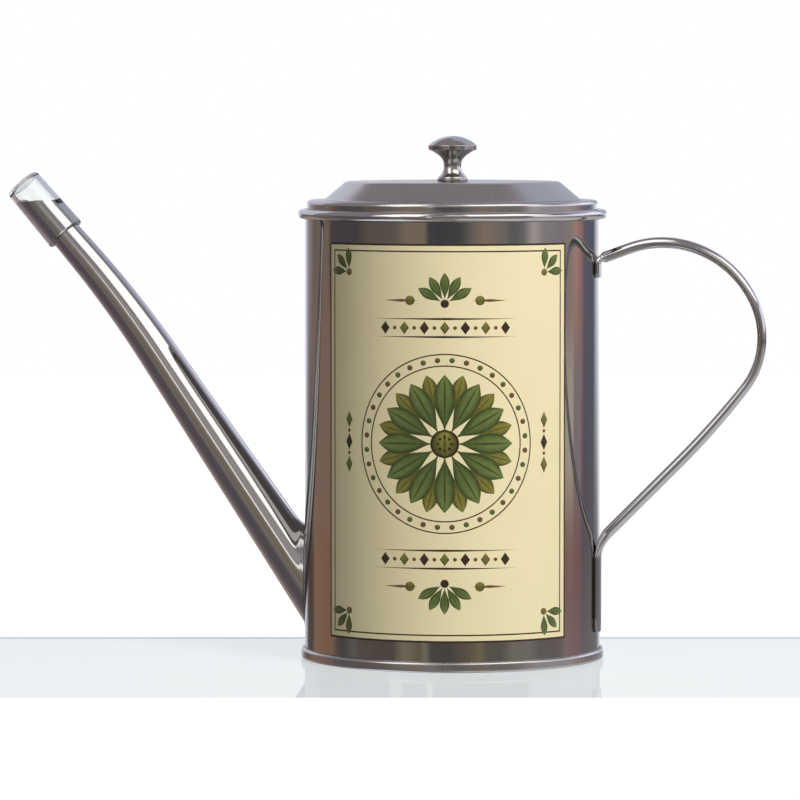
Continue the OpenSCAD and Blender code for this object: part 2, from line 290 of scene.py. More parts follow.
def polish_lines(tree, place, grain, turned):
    """Coordinates for the polish lines: straight along the axes, or round the Z axis if turned."""
    if not turned:
        return put(tree, "ShaderNodeMapping", {"Vector": place, "Scale": grain}).outputs[0]
    x, y, z = split(tree, place)
    flat = combine(tree, x, y)
    radius = put(tree, "ShaderNodeVectorMath", {0: flat}, operation="LENGTH").outputs["Value"]
    slow = put(tree, "ShaderNodeVectorMath", {0: flat}, operation="NORMALIZE").outputs[0]
    slow_x, slow_y, _ = split(tree, slow)
    return combine(tree, maths(tree, "MULTIPLY_ADD", radius, grain[0], slow_x),
                   maths(tree, "MULTIPLY_ADD", z, grain[2], slow_y))


def steel(name, rough, grain, bump=0.02, patch=0.05, tint=STEEL, turned=False):
    """Polished steel; grain is the noise scale along X, Y and Z in lines per metre."""
    made, tree, shader, place = material(name)
    lines = polish_lines(tree, place, grain, turned)
    fine = put(tree, "ShaderNodeTexNoise", {"Vector": lines, "Scale": 1.0, "Detail": 3.0})
    dull = put(tree, "ShaderNodeTexNoise", {"Vector": place, "Scale": 38.0, "Detail": 4.0})
    hair_map = put(tree, "ShaderNodeMapping", {"Vector": place, "Rotation": (0.5, 0.9, 0.3),
                                               "Scale": (260, 260, 9)}).outputs[0]
    hair = put(tree, "ShaderNodeTexVoronoi", {"Vector": hair_map, "Scale": 1.0},
               feature="DISTANCE_TO_EDGE").outputs[0]
    scratch = spread(tree, hair, 0.0, 0.012, 1.0, 0.0)
    patches = spread(tree, dull.outputs[0], 0.45, 0.75, 0.0, patch)
    grainy = spread(tree, fine.outputs[0], 0.3, 0.7, rough * 0.85, rough * 1.15)
    roughness = maths(tree, "ADD", grainy, patches)
    roughness = maths(tree, "MULTIPLY_ADD", scratch, 0.08, roughness)
    tree.links.new(roughness, shader.inputs["Roughness"])
    warm = tuple(v * k for v, k in zip(tint, (1.0, 0.985, 0.96)))
    tree.links.new(blend(tree, dull.outputs[0], tint, warm), shader.inputs["Base Color"])
    height = maths(tree, "MULTIPLY_ADD", scratch, -0.6, fine.outputs[0])
    emboss(tree, shader, height, bump, 0.02)
    shader.inputs["Metallic"].default_value = 1.0
    return made


body_finish = steel("body_polish", 0.055, (900, 900, 12), bump=0.012, patch=0.03)
rim_finish = steel("rim_polish", 0.2, (2200, 0, 2200), bump=0.012, turned=True)
lid_finish = steel("lid_satin", 0.17, (1500, 0, 1500), bump=0.01, patch=0.05, turned=True)
spout_finish = steel("spout_polish", 0.07, (500, 900, 500), bump=0.012,
                     tint=(0.62, 0.612, 0.612))
handle_finish = steel("rod_polish", 0.08, (800, 1200, 800), bump=0.012,
                      tint=(0.61, 0.612, 0.625))
knob_finish = steel("knob_polish", 0.13, (2600, 0, 2600), bump=0.012, turned=True)
base_finish = steel("base_satin", 0.22, (1400, 0, 1400), patch=0.1, turned=True)

# %% [markdown]
# ## Body
#
# The body is one sheet rolled round and welded down the back. Its top edge is curled
# outwards into the rim, and its foot is gripped by the base. The skin below follows the
# sheet all the way round the curl, so that the curl is hollow as the real one is.

# %% Body sizes
shell_low, shell_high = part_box("body_shell")
BODY_R = 47.2
SHEET = 0.5
# Clearance between sheets that are folded or glued together
FOLD_GAP = 0.05
ROLL_R = 1.55
RIM_R = 47.75
RIM_TOP = shell_high.z / mm
RIM_Z = RIM_TOP - ROLL_R
SHEET_LOW = shell_low.z / mm
CURL_END = -97
print("rim top at", round(RIM_TOP, 2), "mm")

# %% Body
def body_outline():
    curl = (RIM_R, RIM_Z)
    neck = 1.4
    inside = [(BODY_R - SHEET, SHEET_LOW), (BODY_R - SHEET, RIM_Z - neck)]
    outer = arc(curl, ROLL_R, 180, CURL_END, 36)
    inner = arc(curl, ROLL_R - SHEET, CURL_END, 180, 24)
    outside = [(BODY_R, RIM_Z - neck), (BODY_R, SHEET_LOW)]
    return inside + outer + inner + outside


body = lathe("can_body", body_outline())
body.data.materials.append(body_finish)
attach(body, "tin")
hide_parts("body_shell")

# %% [markdown]
# ## Base
#
# The base is pressed from a disc, stepped in the middle so that it doesn't rock, and its
# edge is rolled up round the body's sheet. Only the rolled foot shows from the front.

# %% Base
FOOT_R = 48.3
FOOT_H = 3.4


def base_outline():
    slot_in, slot_out = BODY_R - SHEET - FOLD_GAP, BODY_R + FOLD_GAP
    slot_low = SHEET_LOW - FOLD_GAP
    step_r, low, high = 34.25, 1.6, 2.4
    wall = slot_in - SHEET
    return rounded([
        (0, low), (step_r, low, 0.4), (step_r + 0.5, high, 0.4), (wall, high, 0.8),
        (wall + 0.1, 0, 0.45), (FOOT_R, 0, 0.9), (FOOT_R, FOOT_H, 0.9), (slot_out, FOOT_H),
        (slot_out, slot_low), (slot_in, slot_low), (slot_in, FOOT_H), (wall, FOOT_H),
        (wall, high + SHEET), (step_r, high + SHEET, 0.3), (step_r - 0.5, low + SHEET, 0.3),
        (0, low + SHEET),
    ])


base = lathe("rolled_base", base_outline())
base.data.materials.append(base_finish)
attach(base, "tin")
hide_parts("base_disc")

# %% [markdown]
# ## Lid and knob
#
# The lid is one pressing: crown, sloped side, ledge, upright band, a shoulder that sits on
# the rim, and a plug that goes into it. The knob is turned from bar: a domed head on a
# waisted neck. The waist follows a power curve, which a compass can't draw.

# %% Lid
lid_low, lid_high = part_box("lid_cover")
PLUG_R = 45.95
BAND_R = 46.35
CROWN_Z = lid_high.z / mm
LEDGE_Z = CROWN_Z - 5.9
SEAT_Z = RIM_Z + sqrt(ROLL_R ** 2 - (RIM_R - BAND_R) ** 2) + 0.1
CROWN_R = 33
SLOPE = 40
HOLE_R = 1.7


def lid_line(inset):
    """Half section of the lid's skin, set in from the outside by inset."""
    top, foot = 2.5, 1.2
    drop = (top + foot) * (1 - cos(radians(SLOPE)))
    reach = (drop + (CROWN_Z - LEDGE_Z) * cos(radians(SLOPE))) / sin(radians(SLOPE))
    crown = (CROWN_R, CROWN_Z - top)
    ledge = (CROWN_R + reach, LEDGE_Z + foot)
    round_r = 1.3
    band = (BAND_R - round_r, LEDGE_Z - round_r)
    return (
        [(HOLE_R, CROWN_Z - inset)]
        + arc(crown, top - inset, 90, 90 - SLOPE)
        + arc(ledge, foot + inset, 270 - SLOPE, 270)
        + arc(band, round_r - inset, 90, 0)
        + [(BAND_R - inset, SEAT_Z + inset), (PLUG_R - inset, SEAT_Z + inset)]
        + [(PLUG_R - inset, lid_low.z / mm)]
    )


lid = lathe("lid_skin", lid_line(0) + lid_line(SHEET)[::-1], sharp=50)
lid.data.materials.append(lid_finish)
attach(lid, "lid")
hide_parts("lid_cover")

# %% Knob
knob_low, knob_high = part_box("lid_knob")
KNOB_R = 7.8
NECK_FOOT_R = 4.9
WAIST_R = 2.8
DOME_H = 3.0
EDGE_H = 1.4
DOME_BALL_R = (KNOB_R ** 2 + DOME_H ** 2) / 2 / DOME_H


def knob_outline():
    low, high = knob_low.z / mm, knob_high.z / mm
    head = high - DOME_H - EDGE_H
    foot = low + 1
    waist = foot + (head - foot) * 0.45
    steps = 16
    neck = []
    for i in range(1, steps + 1):
        t = i / steps
        neck.append((WAIST_R + (NECK_FOOT_R - WAIST_R) * (1 - t) ** 2.4, foot + (waist - foot) * t))
    for i in range(1, steps + 1):
        t = i / steps
        neck.append((WAIST_R + (KNOB_R - 0.35 - WAIST_R) * t ** 2.4, waist + (head - waist) * t))
    edge = rounded([(KNOB_R - 0.35, head), (KNOB_R, head, 0.15), (KNOB_R, head + EDGE_H, 0.25),
                    (KNOB_R - 1, head + EDGE_H + 0.85)])[1:-1]
    reach = degrees(asin(KNOB_R / DOME_BALL_R))
    dome = arc((0, high - DOME_BALL_R), DOME_BALL_R, 90 - reach * 0.93, 90, 20)[:-1]
    hole = [(0, low + 7.5), (1.55, low + 7.5), (1.55, low)]
    foot_edge = rounded([(1.55, low), (NECK_FOOT_R, low, 0.25), (NECK_FOOT_R, foot, 0.3),
                         (WAIST_R, foot)])[1:-1]
    return hole + foot_edge + neck + edge + dome + [(0, high)]


knob = lathe("turned_knob", knob_outline(), 96, sharp=60)
knob.data.materials.append(knob_finish)
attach(knob, "lid")
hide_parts("lid_knob")

for node_name in ("knob_screw", "knob_washer"):
    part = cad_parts[node_name]
    part.data.materials.clear()
    part.data.materials.append(knob_finish)

# %% [markdown]
# ## Bent pieces
#
# The spout and the handle are both bent in the same plane, the one through spout and handle.
# A list of runs, each with its length and its turn, gives such a path, as it does in a pipe
# bender's shop. The helper returns the place and heading after any distance.

# %% Paths from runs
def along(start, heading, runs, distance):
    """Place (x, z) and heading in degrees after a distance along runs of (length, turn)."""
    x, z = start
    for i, (length, turn) in enumerate(runs):
        last = i == len(runs) - 1
        step = distance if last or distance < length else length
        turned = turn * step / length
        chord = step if abs(turned) < 1e-9 else 2 * step * sin(radians(turned) / 2) / radians(turned)
        middle = radians(heading + turned / 2)
        x, z = x + chord * cos(middle), z + chord * sin(middle)
        heading += turned
        distance -= step
        if distance <= 0:
            break
    return x, z, heading


def smooth(t):
    """Eases t from 0 to 1."""
    t = min(max(t, 0), 1)
    return t * t * (3 - 2 * t)


# %% [markdown]
# ## Spout
#
# The spout is a tapered tube with one slow bend. Its upper side flares out a little where it
# is brazed to the body, so its first ring has to lie on the body's curve: each line along the
# tube is slid to where it meets the body. Its mouth is cut level, so the last ring is slid up
# to a level plane.

# %% Spout
SPOUT_Z = 23
SPOUT_RISE = 55
SPOUT_RUNS = [(88, 0), (42, 7), (23, 0)]
SPOUT_LEN = sum(length for length, turn in SPOUT_RUNS)
ROOT_R, TIP_R = 8.6, 4.65
FLARE, FLARE_LEN = 1.8, 7
SPOUT_WALL = 0.6
SPOUT_SIDES = 72
mouth_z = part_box("spout_tube")[1].z / mm


def spout_radius(s):
    """Outside radius of the spout at a distance along it."""
    return ROOT_R + (TIP_R - ROOT_R) * s / SPOUT_LEN


def spout_point(s, angle, inset=0.0, flared=True):
    """A point on the spout's skin; angle 0 is its upper side."""
    x, z, heading = along((-BODY_R, SPOUT_Z), 180 - SPOUT_RISE, SPOUT_RUNS, max(s, 0))
    if s < 0:
        x, z = x - s * cos(radians(SPOUT_RISE)), z + s * sin(radians(SPOUT_RISE))
    radius = spout_radius(s) - inset
    if flared:
        rise = max(cos(angle), 0)
        root = (ROOT_R + FLARE * rise ** 2) * rise * tan(radians(SPOUT_RISE))
        radius += FLARE * rise ** 2 * (1 - min(max(s - root, 0) / FLARE_LEN, 1)) ** 3
    u, v = radius * cos(angle), radius * sin(angle)
    tilt = radians(heading)
    return (x + u * sin(tilt), v, z - u * cos(tilt))


def slide(test, low, high):
    """The distance between low and high where test changes from true to false."""
    for _ in range(40):
        middle = (low + high) / 2
        low, high = (middle, high) if test(middle) else (low, middle)
    return (low + high) / 2


def spout_rings(inset, flared, rows=60):
    """Rings from the body to the mouth, each line slid to the body and to the level mouth."""
    ends = []
    for k in range(SPOUT_SIDES):
        angle = 2 * pi * k / SPOUT_SIDES

        def in_body(s):
            x, y, z = spout_point(s, angle, inset, flared)
            return x * x + y * y < (BODY_R + FOLD_GAP) ** 2

        def below_mouth(s):
            return spout_point(s, angle, inset, flared)[2] < mouth_z

        ends.append((angle, slide(in_body, -22, 30), slide(below_mouth, 130, 175)))
    rings = []
    for i in range(rows + 1):
        t = i / rows
        t = t * (0.55 + 0.45 * t) if flared else t
        rings.append([spout_point(a + (b - a) * t, angle, inset, flared) for angle, a, b in ends])
    return rings


spout = skin("spout_skin", spout_rings(0, True) + spout_rings(SPOUT_WALL, False)[::-1], sharp=50)
spout.data.materials.append(spout_finish)
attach(spout, "tin")
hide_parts("spout_tube")

# %% [markdown]
# ## Handle
#
# The handle is a rod with flattened ends that are spot-welded to the body. Its section goes
# from a flat tab, with squarish corners, to a round rod, and is pressed a little flatter in
# the tight bend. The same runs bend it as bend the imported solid. The tabs are pressed to the
# body's curve and sink into the welds by a hair.

# %% Handle
ROD = 3.5
TAB_W, TAB_T = 7.4, 1.1
UPPER_TAB_Z = 121.8
SQUEEZE = 0.6
TIGHT = 5.4
ROD_SIDES = 40
tab_x = BODY_R + FOLD_GAP + TAB_T / 2


def handle_runs():
    """Upper tab, sharp bend, swell, start, wide, tight and slow bends, slant, low bend, tab."""
    runs = [(4.7, 0), (1.8, -70), (0.8, 0), (8.4, 0), (47.3, -84), (29.3, -64), (32, -7)]
    length = sum(run[0] for run in runs)
    x, z, heading = along((tab_x, UPPER_TAB_Z), 90, runs, length)
    low_turn, low_len = -90 - heading, 9.4
    chord = 2 * low_len * sin(radians(low_turn) / 2) / radians(low_turn)
    drop = chord * cos(radians(heading + low_turn / 2))
    slant = (tab_x - x - drop) / cos(radians(heading))
    return runs + [(slant, 0), (low_len, low_turn), (23.5, 0)]


def handle_rings():
    runs = handle_runs()
    flats = [1, 1, 0.5, 0, 0, 0, 0, 0, 0, 1, 1]
    steps = [6, 14, 6, 8, 48, 30, 14, 14, 16, 10]
    rings, passed = [], 0
    for j, ((length, turn), count) in enumerate(zip(runs, steps)):
        for i in range(0 if j == 0 else 1, count + 1):
            t = i / count
            s = passed + length * t
            x, z, heading = along((tab_x, UPPER_TAB_Z), 90, runs, s)
            flat = smooth(flats[j] + (flats[j + 1] - flats[j]) * t)
            press = 1 - smooth(abs(j + t - TIGHT) / 1.5)
            thick = (ROD - SQUEEZE * press) * (1 - flat) + TAB_T * flat
            wide = (ROD + SQUEEZE * press / 2) * (1 - flat) + TAB_W * flat
            power = 1 - 0.65 * flat
            end = min(s, sum(run[0] for run in runs) - s)
            shrink = 1 - 0.18 * (1 - min(end / 0.6, 1)) ** 2
            ring = []
            for k in range(ROD_SIDES):
                a = 2 * pi * k / ROD_SIDES
                ca, sa = cos(a), sin(a)
                u = thick / 2 * (abs(ca) ** power) * (1 if ca > 0 else -1)
                v = wide / 2 * shrink * (abs(sa) ** power) * (1 if sa > 0 else -1)
                tilt = radians(heading)
                sink = max(flat - 0.6, 0) / 0.4 * (v * v / 2 / BODY_R + 0.08)
                ring.append((x - u * sin(tilt) - sink, v, z + u * cos(tilt)))
            rings.append(ring)
        passed += length
    return rings


handle = skin("bent_handle", handle_rings(), close=False, caps=True, sharp=50)
handle.data.materials.append(handle_finish)
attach(handle, "tin")
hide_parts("handle")

# %% [markdown]
# ## Clear cap
#
# A short length of clear vinyl tube, closed at its end, slips over the mouth and keeps dust
# out. It needs a real wall: light bends as it goes in and out, which makes the steel inside
# look as wide as the cap. Soft vinyl clings to the steel with no air between them, so its bore
# is drawn a hair narrower than the spout.

# %% Cap
CAP_LEN, CAP_GRIP = 22, 14.5
CAP_GAP, CAP_WALL, CAP_END = -0.008, 1.508, 1.0


def cap_outline():
    low = SPOUT_LEN - CAP_GRIP
    high = low + CAP_LEN
    bore_low, bore_high = spout_radius(low) + CAP_GAP, spout_radius(high) + CAP_GAP
    return rounded([
        (0, CAP_LEN - CAP_END), (bore_high, CAP_LEN - CAP_END, 0.3), (bore_low, 0, 0.25),
        (bore_low + CAP_WALL, 0, 0.35), (bore_high + CAP_WALL, CAP_LEN, 0.45), (0, CAP_LEN),
    ])


def vinyl():
    made, tree, shader, place = material("clear_vinyl")
    haze = put(tree, "ShaderNodeTexNoise", {"Vector": place, "Scale": 260.0, "Detail": 3.0})
    rough = spread(tree, haze.outputs[0], 0.4, 0.8, 0.01, 0.07)
    tree.links.new(rough, shader.inputs["Roughness"])
    emboss(tree, shader, haze.outputs[0], 0.04, 0.1)
    shader.inputs["Base Color"].default_value = (0.97, 0.99, 0.99, 1)
    shader.inputs["Transmission Weight"].default_value = 1.0
    shader.inputs["IOR"].default_value = 1.5
    return made


cap = lathe("clear_cap", cap_outline(), 96, sharp=50)
foot_x, foot_z, cap_heading = along((-BODY_R, SPOUT_Z), 180 - SPOUT_RISE, SPOUT_RUNS,
                                    SPOUT_LEN - CAP_GRIP)
cap.data.transform(Matrix.Translation((foot_x * mm, 0, foot_z * mm))
                   @ Matrix.Rotation(radians(90 - cap_heading), 4, "Y"))
cap.data.materials.append(vinyl())
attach(cap, "cap")
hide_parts("spout_cap")

# %% [markdown]
# ## Printed panel
#
# The front carries a panel of cream enamel with a double border line. It is a thin curved
# plate, and it gets its own UV map, in millimetres along the curve and up, so that the print
# is laid out flat, as a printer lays it out.

# %% Panel
PANEL_W, PANEL_T = 83.8, 0.2
PANEL_TURN = radians(11 - 90)
panel_low, panel_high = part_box("label_panel")
PANEL_Z, PANEL_H = panel_low.z / mm, (panel_high.z - panel_low.z) / mm
PANEL_R = BODY_R + FOLD_GAP + PANEL_T


def wrap(x, y, radius):
    """A place on the flat print, in millimetres from its middle, as a point on the body."""
    a = PANEL_TURN + x / BODY_R
    return radius * cos(a), radius * sin(a), PANEL_Z + PANEL_H / 2 + y


def panel_rings(columns=96, rows=8):
    """Rings round the plate's section, up its face and down its back, from left to right."""
    heights = [PANEL_H * (j / rows - 0.5) for j in range(rows + 1)]
    rings = []
    for i in range(columns + 1):
        x = PANEL_W * (i / columns - 0.5)
        rings.append([wrap(x, y, PANEL_R) for y in heights]
                     + [wrap(x, y, PANEL_R - PANEL_T) for y in heights[::-1]])
    return rings


def lay_flat(mesh):
    """Gives the plate's mesh its UV map, in millimetres from the print's middle."""
    uv = mesh.uv_layers.new(name="print")
    for loop in mesh.loops:
        x, y, z = mesh.vertices[loop.vertex_index].co / mm
        uv.data[loop.index].uv = (atan2(y, x) - PANEL_TURN) * BODY_R, z - PANEL_Z - PANEL_H / 2


CREAM = srgb(225, 213, 172)
LINE_BROWN = srgb(46, 35, 20)
# Inset and width of each border line, in millimetres
BORDERS = [(0.3, 0.6), (2.35, 0.45)]


def border_lines(tree, x, y):
    """1 on the border lines, which run round the print at an inset from its edge."""
    across = maths(tree, "SUBTRACT", maths(tree, "ABSOLUTE", x), PANEL_W / 2)
    upward = maths(tree, "SUBTRACT", maths(tree, "ABSOLUTE", y), PANEL_H / 2)
    depth = maths(tree, "MAXIMUM", across, upward)
    lines = [maths(tree, "COMPARE", depth, -inset, width / 2) for inset, width in BORDERS]
    return maths(tree, "MAXIMUM", *lines)


def enamel():
    made, tree, shader, place = material("cream_enamel")
    x, y, _ = split(tree, put(tree, "ShaderNodeUVMap", uv_map="print").outputs[0])
    lines = border_lines(tree, x, y)
    mottle = put(tree, "ShaderNodeTexNoise", {"Vector": place, "Scale": 55.0, "Detail": 5.0})
    shade = ramp(tree, mottle.outputs[0], [(0.3, srgb(222, 210, 168)), (0.7, CREAM)])
    colour = blend(tree, lines, shade, LINE_BROWN)
    tree.links.new(colour, shader.inputs["Base Color"])
    rough = spread(tree, mottle.outputs[0], 0.3, 0.7, 0.3, 0.42)
    tree.links.new(rough, shader.inputs["Roughness"])
    emboss(tree, shader, maths(tree, "MULTIPLY_ADD", lines, 0.4, mottle.outputs[0]), 0.15, 0.05)
    return made


panel = skin("enamel_panel", panel_rings(), close=False, caps=True)
lay_flat(panel.data)
panel.data.materials.append(enamel())
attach(panel, "tin")
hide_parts("label_panel")

# %% [markdown]
# ## Printed ornament
#
# The print is a plain round ornament: a rosette of petals in a beaded ring, with bands of
# lozenges over and under it and small fans. It is made of only four motifs, each a low closed
# mesh of unit size: a petal, a dot, a lozenge and a bar. A layout says where each mark stands
# on the flat print, how it is turned, its size and its tone.

# %% Motifs
PRINT_T = 0.03
GREEN_INK, OLIVE_INK, TAN_INK, BROWN_INK = 0.1, 0.35, 0.6, 0.85


def motif(name, half_width, steps=14):
    """A low closed mesh of unit length along Y; half_width gives its half width at t from 0 to 1."""
    mesh = bpy.data.meshes.new(name)
    across = [(-1, 0), (-0.9, 0.8), (0, 1), (0.9, 0.8), (1, 0)]
    points, faces, flat = [], [], []
    for i in range(steps + 1):
        t = i / steps
        w = max(half_width(t), 0.02)
        for u, h in across:
            points.append((w * u, t, h))
            flat.append((u, t))
    n = len(across)
    for i in range(steps):
        for k in range(n):
            a, b = i * n + k, i * n + (k + 1) % n
            faces.append((a, b, b + n, a + n))
    faces += [tuple(range(n))[::-1], tuple(range(steps * n, steps * n + n))]
    mesh.from_pydata(points, [], faces)
    uv = mesh.uv_layers.new(name="print")
    for loop in mesh.loops:
        uv.data[loop.index].uv = flat[loop.vertex_index]
    return bpy.data.objects.new(name, mesh)


motifs = [
    motif("petal", lambda t: 0.5 * abs(sin(pi * t ** 1.3)) ** 0.9),
    motif("dot", lambda t: sqrt(max(t - t * t, 0))),
    motif("lozenge", lambda t: 0.5 - abs(t - 0.5), 24),
    motif("bar", lambda t: 0.5, 24),
]
PETAL, DOT, LOZENGE, BAR = range(4)
print("motifs:", [m.name for m in motifs])

# %% [markdown]
# Marks in a ring or a fan point away from its centre. The layout is symmetric, so one half
# says all: what stands over the rosette is mirrored under it.

# %% Layout
def fan(kind, centre, count, radius, width, length, tone, lift=0, start=0, sweep=360):
    """Marks (kind, x, y, turn, width, length, tone, lift) round a centre, in millimetres."""
    marks = []
    for i in range(count):
        share = i / count if sweep == 360 else i / (count - 1)
        a = radians(start + sweep * share)
        x, y = centre[0] + radius * cos(a), centre[1] + radius * sin(a)
        marks.append((kind, x, y, a - pi / 2, width, length, tone, lift))
    return marks


def ring_line(radius, width, tone):
    """A thin ring, as short bars end to end."""
    parts = 72
    length = 2 * pi * radius / parts * 1.04
    marks = []
    for i in range(parts):
        a = 2 * pi * i / parts
        x = radius * cos(a) + length / 2 * sin(a)
        y = radius * sin(a) - length / 2 * cos(a)
        marks.append((BAR, x, y, a, width, length, tone, 0))
    return marks


def dot(x, y, size, tone, lift=0):
    return (DOT, x, y - size / 2, 0, size, size, tone, lift)


def layout():
    middle = (0, 0)
    marks = fan(PETAL, middle, 12, 11.5, 4.8, 10.5, OLIVE_INK, 0, 15)
    marks += fan(PETAL, middle, 12, 4.4, 7.2, 17, GREEN_INK, 1)
    marks += [dot(0, 0, 9, BROWN_INK, 2), dot(0, 0, 7.6, OLIVE_INK, 3)]
    marks += fan(DOT, middle, 8, 1.6, 1, 1, BROWN_INK, 4)
    marks += ring_line(24.2, 0.4, BROWN_INK) + ring_line(27.8, 0.4, BROWN_INK)
    for i in range(36):
        a = radians(10 * i + 5)
        marks.append(dot(26 * cos(a), 26 * sin(a), 1.7, TAN_INK if i % 2 else GREEN_INK))
    for side in (-1, 1):
        up_turn = 0 if side > 0 else 180
        for y in (33.2, 38.8):
            marks.append((LOZENGE, 23, side * y, pi / 2, 0.7, 46, BROWN_INK, 0))
        for i in range(7):
            x = (i - 3) * 6.4
            marks.append((LOZENGE, x, side * 36 - 2, 0, 3, 4, OLIVE_INK if i % 2 else BROWN_INK, 0))
        for i in range(6):
            marks.append(dot((i - 2.5) * 6.4, side * 36, 1.2, TAN_INK))
        marks += fan(PETAL, (0, side * 43.5), 5, 1.6, 3, 8, GREEN_INK, 0, 30 + up_turn, 120)
        marks += [dot(0, side * 43.5, 2.6, BROWN_INK, 1)]
        for left in (-1, 1):
            marks.append(dot(left * 11, side * 44.5, 3, OLIVE_INK))
            marks.append((LOZENGE, left * 14 + 5.5, side * 44.5, pi / 2, 0.9, 11, TAN_INK, 0))
            turn = degrees(atan2(side, left))
            marks += fan(PETAL, (left * 33, side * 53), 3, 1.2, 2.6, 6.4, GREEN_INK, 0, turn - 42, 84)
            marks += [dot(left * 33, side * 53, 2.2, OLIVE_INK, 1)]
    for left in (-1, 1):
        for y in (-7, 0, 7):
            marks.append((LOZENGE, left * 33, y - 2.6, 0, 2.6, 5.2, OLIVE_INK if y else BROWN_INK, 0))
        marks += [dot(left * 33, y, 1.1, TAN_INK) for y in (-3.5, 3.5)]
    return marks


marks = layout()
print(len(marks), "marks")

# %% [markdown]
# Geometry Nodes set a motif on every point of the layout and then bend the flat print round
# the body. Each mark's kind, turn, size and tone ride on its point as attributes.

# %% Wrap the print
def marks_mesh(marks):
    mesh = bpy.data.meshes.new("print_layout")
    mesh.from_pydata([Vector((m[1], m[2], 0.006 * m[7])) * mm for m in marks], [], [])
    for name, kind, values in (
            ("kind", "FLOAT", [float(m[0]) for m in marks]),
            ("turn", "FLOAT", [m[3] for m in marks]),
            ("size", "FLOAT_VECTOR", [(m[4] * mm, m[5] * mm, PRINT_T * mm) for m in marks]),
            ("tone", "FLOAT", [m[6] for m in marks])):
        data = mesh.attributes.new(name, kind, "POINT").data
        for item, value in zip(data, values):
            setattr(item, "vector" if kind == "FLOAT_VECTOR" else "value", value)
    return mesh


def named(tree, name, kind="FLOAT"):
    """The output of a Named Attribute node."""
    return put(tree, "GeometryNodeInputNamedAttribute", {"Name": name}, data_type=kind).outputs[0]


def new_tree(name, inputs, result):
    """A Geometry Nodes tree with inputs (name, kind) and one result, and its inputs' outputs."""
    tree = bpy.data.node_groups.new(name, "GeometryNodeTree")
    for label, kind in inputs:
        tree.interface.new_socket(name=label, in_out="INPUT", socket_type="NodeSocket" + kind)
    tree.interface.new_socket(name=result, in_out="OUTPUT", socket_type="NodeSocketGeometry")
    return tree, put(tree, "NodeGroupInput").outputs


def set_round(tree, geometry, radius, angle, height):
    """Geometry with each point at a radius, an angle and a height round the Z axis."""
    bent = combine(tree, maths(tree, "MULTIPLY", radius, maths(tree, "COSINE", angle)),
                   maths(tree, "MULTIPLY", radius, maths(tree, "SINE", angle)), height)
    return put(tree, "GeometryNodeSetPosition", {"Geometry": geometry, "Position": bent}).outputs[0]


def real(tree, geometry):
    """Geometry with its instances made real."""
    return put(tree, "GeometryNodeRealizeInstances", {0: geometry}).outputs[0]


def end_tree(tree, geometry, surface):
    """Ends a tree with real geometry in one material."""
    coated = put(tree, "GeometryNodeSetMaterial", {"Geometry": real(tree, geometry),
                                                   "Material": surface})
    put(tree, "NodeGroupOutput", {0: coated.outputs[0]})
    return tree


def print_tree(count):
    """Geometry Nodes: motifs on points, wrapped round the body."""
    inputs = [("Layout", "Geometry"), ("Body radius", "Float"), ("Turn", "Float"),
              ("Middle height", "Float"), ("Ink", "Material")]
    inputs += [(f"Motif {i}", "Object") for i in range(count)]
    tree, given = new_tree("wrapped_print", inputs, "Print")
    turn = combine(tree, z=named(tree, "turn"))
    joined = put(tree, "GeometryNodeJoinGeometry")
    for i in range(count):
        shape = put(tree, "GeometryNodeObjectInfo", {"Object": given[f"Motif {i}"]})
        chosen = maths(tree, "COMPARE", named(tree, "kind"), float(i), 0.1)
        laid = put(tree, "GeometryNodeInstanceOnPoints", {
            "Points": given["Layout"], "Selection": chosen, "Instance": shape.outputs["Geometry"],
            "Rotation": turn, "Scale": named(tree, "size", "FLOAT_VECTOR")}).outputs[0]
        tree.links.new(laid, joined.inputs[0])
    x, y, z = split(tree, put(tree, "GeometryNodeInputPosition").outputs[0])
    angle = maths(tree, "ADD", given["Turn"], maths(tree, "DIVIDE", x, given["Body radius"]))
    placed = set_round(tree, real(tree, joined.outputs[0]),
                       maths(tree, "ADD", given["Body radius"], z), angle,
                       maths(tree, "ADD", y, given["Middle height"]))
    return end_tree(tree, placed, given["Ink"])


def evaluated(name, source, tree, values):
    """Runs a Geometry Nodes tree on an object, with its inputs by name, and returns a plain mesh."""
    modifier = source.modifiers.new(name, "NODES")
    modifier.node_group = tree
    for item in tree.interface.items_tree:
        if item.in_out == "INPUT" and item.name in values:
            modifier[item.identifier] = values[item.name]
    bpy.context.scene.collection.objects.link(source)
    graph = bpy.context.evaluated_depsgraph_get()
    mesh = bpy.data.meshes.new_from_object(source.evaluated_get(graph))
    source.modifiers.remove(modifier)
    bpy.data.objects.remove(source)
    mesh.name = name
    return mesh


# Green, olive, tan and brown, where the ink lies thick and where it is worn
DARK_INKS = [(52, 66, 28), (74, 72, 26), (84, 58, 36), (44, 32, 18)]
LIGHT_INKS = [(120, 136, 74), (146, 142, 66), (132, 100, 66), (62, 48, 30)]


